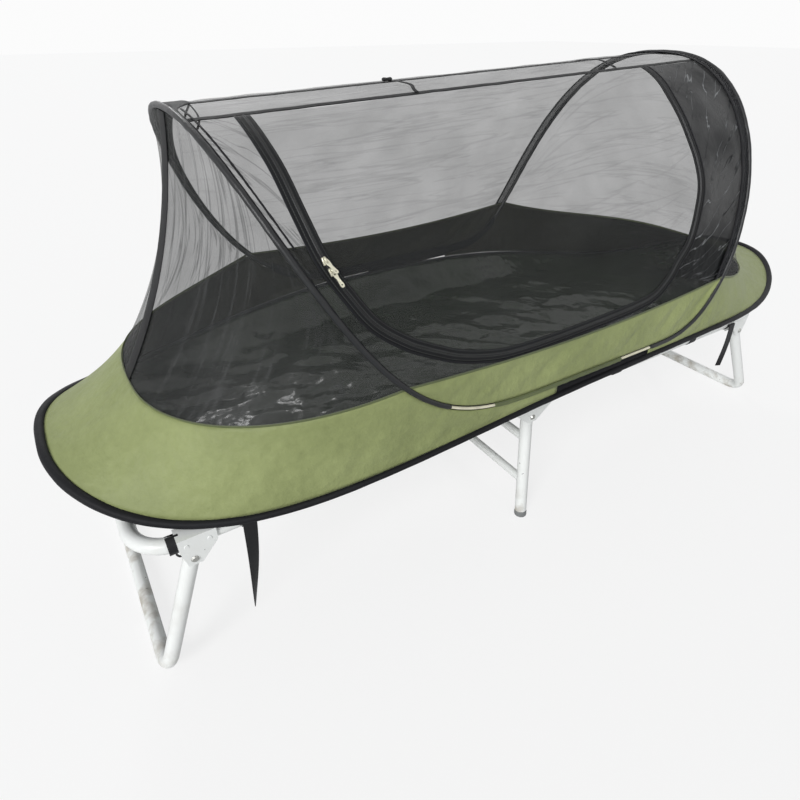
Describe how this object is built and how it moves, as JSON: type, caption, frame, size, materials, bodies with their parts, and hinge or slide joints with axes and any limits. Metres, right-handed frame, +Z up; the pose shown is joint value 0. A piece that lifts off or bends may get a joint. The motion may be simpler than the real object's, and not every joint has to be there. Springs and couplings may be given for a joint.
{
  "type": "tent cot",
  "caption": "Folding tubular camp cot with splayed tube legs, carrying a domed mosquito-net tent with cloth lower walls and a zipped side door.",
  "frame": {"origin": "centre of the bounding box on the floor under the legs", "axes": "+X along the bed towards the more splayed leg, +Y towards the side without a door, +Z up"},
  "size_m": [2.036, 0.768, 0.9677],
  "materials": {
    "tube": "gloss white paint, scuffed",
    "bracket": "white painted pressed sheet with its rivets",
    "pivot_pin": "zinc plated",
    "leg_cap": "grey moulded",
    "bed_sheet": "coated woven cloth",
    "sprung_rod": "cream painted spring wire",
    "binding": "black binding cloth",
    "hem": "green cloth, folded",
    "floor": "dark coated cloth",
    "green_cloth": "bright green nylon",
    "net": "fine black mosquito mesh",
    "tape": "black woven tape",
    "zip_metal": "nickel plated",
    "buckle": "black moulded",
    "webbing": "black woven webbing"
  },
  "bodies": {
    "cot": {"left_bed_frame": "tube", "right_bed_frame": "tube", "left_near_bracket": "bracket", "left_far_bracket": "bracket", "middle_near_bracket": "bracket", "middle_far_bracket": "bracket", "right_near_bracket": "bracket", "right_far_bracket": "bracket", "left_near_pivot_pin": "pivot_pin", "left_far_pivot_pin": "pivot_pin", "middle_near_pivot_pin": "pivot_pin", "middle_far_pivot_pin": "pivot_pin", "right_near_pivot_pin": "pivot_pin", "right_far_pivot_pin": "pivot_pin", "bed_sheet": "bed_sheet", "base_ring_rod": "sprung_rod", "saddle_rod": "sprung_rod", "base_binding": "binding", "left_arch_sleeve": "binding", "right_arch_sleeve": "binding", "near_hem": "hem", "far_hem": "hem", "tent_floor": "floor", "left_apron": "green_cloth", "right_apron": "green_cloth", "near_wall": "green_cloth", "far_wall": "green_cloth", "near_net": "net", "far_net": "net", "ridge_net": "net", "left_end_net": "net", "right_end_net": "net", "fixed_zip_tape": "tape", "door_top_tape": "tape", "ridge_tape": "tape", "door_tie_loop": "tape", "lantern_loop": "tape", "door_tie_toggle": "buckle", "near_left_buckle": "buckle", "near_left_strap": "webbing", "near_right_strap": "webbing", "far_left_strap": "webbing", "far_right_strap": "webbing"},
    "left_leg": {"left_leg": "tube"},
    "right_leg": {"right_leg": "tube"},
    "middle_leg": {"middle_leg_near_upright": "tube", "middle_leg_far_upright": "tube", "middle_leg_upper_bar": "tube", "middle_leg_lower_bar": "tube", "middle_leg_near_cap": "leg_cap", "middle_leg_far_cap": "leg_cap"},
    "door": {"door_net": "net", "door_zip_tape": "tape"},
    "upper_slider": {"zip_slider_upper": "zip_metal"},
    "lower_slider": {"zip_slider_lower": "zip_metal"},
    "upper_pull": {"zip_pull_upper": "zip_metal"},
    "lower_pull": {"zip_pull_lower": "zip_metal"}
  },
  "joints": [
    {"name": "left_leg_fold", "type": "hinge", "parent": "cot", "child": "left_leg", "pos_m": [-0.844, 0, 0.282], "axis": [0, -1, 0], "range_deg": [0, 108]},
    {"name": "right_leg_fold", "type": "hinge", "parent": "cot", "child": "right_leg", "pos_m": [0.715, 0, 0.282], "axis": [0, 1, 0], "range_deg": [0, 122]},
    {"name": "middle_leg_fold", "type": "hinge", "parent": "cot", "child": "middle_leg", "pos_m": [-0.0865, 0, 0.282], "axis": [0, -1, 0], "range_deg": [0, 88]},
    {"name": "door_open", "type": "hinge", "parent": "cot", "child": "door", "pos_m": [-0.68127, -0.10315, 0.90645], "axis": [-0.9994, 0, -0.036], "range_deg": [0, 86]},
    {"name": "upper_slider_run", "type": "hinge", "parent": "door", "child": "upper_slider", "pos_m": [-0.41479, -0.03796, 0.65532], "axis": [-0.8342, 0.3579, -0.4195], "range_deg": [0, 23]},
    {"name": "lower_slider_run", "type": "hinge", "parent": "door", "child": "lower_slider", "pos_m": [-0.10716, 0.18774, 0.72999], "axis": [0.5931, -0.5451, 0.5925], "range_deg": [0, 5]},
    {"name": "upper_pull_lift", "type": "hinge", "parent": "upper_slider", "child": "upper_pull", "pos_m": [-0.57475, -0.30451, 0.7518], "axis": [-0.9613, -0.1342, -0.2408], "range_deg": [0, 110]},
    {"name": "lower_pull_lift", "type": "hinge", "parent": "lower_slider", "child": "lower_pull", "pos_m": [-0.56851, -0.31472, 0.73552], "axis": [-0.9252, -0.1764, -0.3361], "range_deg": [0, 64]}
  ]
}
